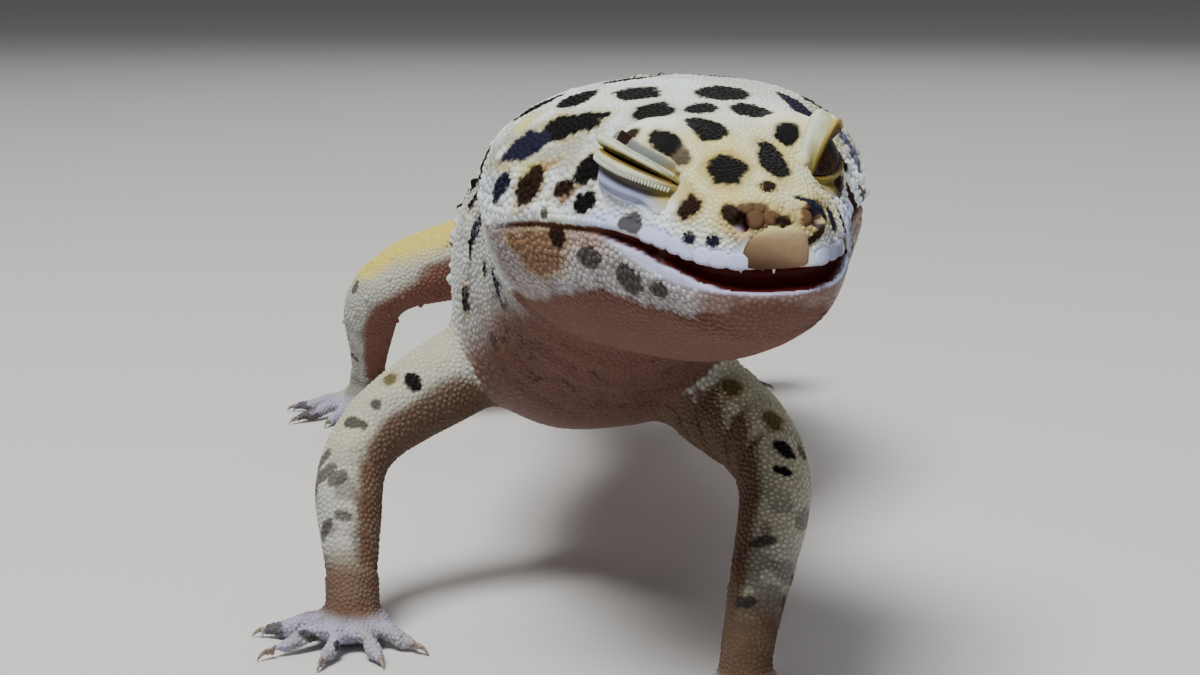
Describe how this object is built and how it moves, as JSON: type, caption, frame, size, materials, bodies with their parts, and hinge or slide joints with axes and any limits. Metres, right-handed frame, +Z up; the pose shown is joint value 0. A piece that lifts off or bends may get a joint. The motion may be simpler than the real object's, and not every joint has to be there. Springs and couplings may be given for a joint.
{
  "type": "leopard gecko",
  "caption": "Life-size standing leopard gecko with its head turned a little to its left, one eye nearly shut, the mouth slightly open and a thick tapering tail on the ground.",
  "frame": {"origin": "middle of the animal's box at floor level, under the belly", "axes": "+Z up, -Y the way the animal faces, +X the animal's left side"},
  "size_m": [0.0526, 0.2092, 0.0398],
  "materials": {
    "head_skin": "satin",
    "jaw_skin": "satin",
    "trunk_skin": "satin",
    "tail_skin": "satin",
    "limb_skin": "satin",
    "eye": "gloss"
  },
  "bodies": {
    "root": {"head": "head_skin", "lower_jaw": "jaw_skin", "right_eye": "eye", "left_eye": "eye", "neck": "trunk_skin", "chest": "trunk_skin", "belly": "trunk_skin", "hips": "trunk_skin", "tail_base": "tail_skin", "tail_middle": "tail_skin", "tail_end": "tail_skin", "right_upper_arm": "limb_skin", "right_forearm": "limb_skin", "right_hand": "limb_skin", "left_upper_arm": "limb_skin", "left_forearm": "limb_skin", "left_hand": "limb_skin", "right_thigh": "limb_skin", "right_shin": "limb_skin", "right_foot": "limb_skin", "left_thigh": "limb_skin", "left_shin": "limb_skin", "left_foot": "limb_skin"}
  },
  "joints": []
}
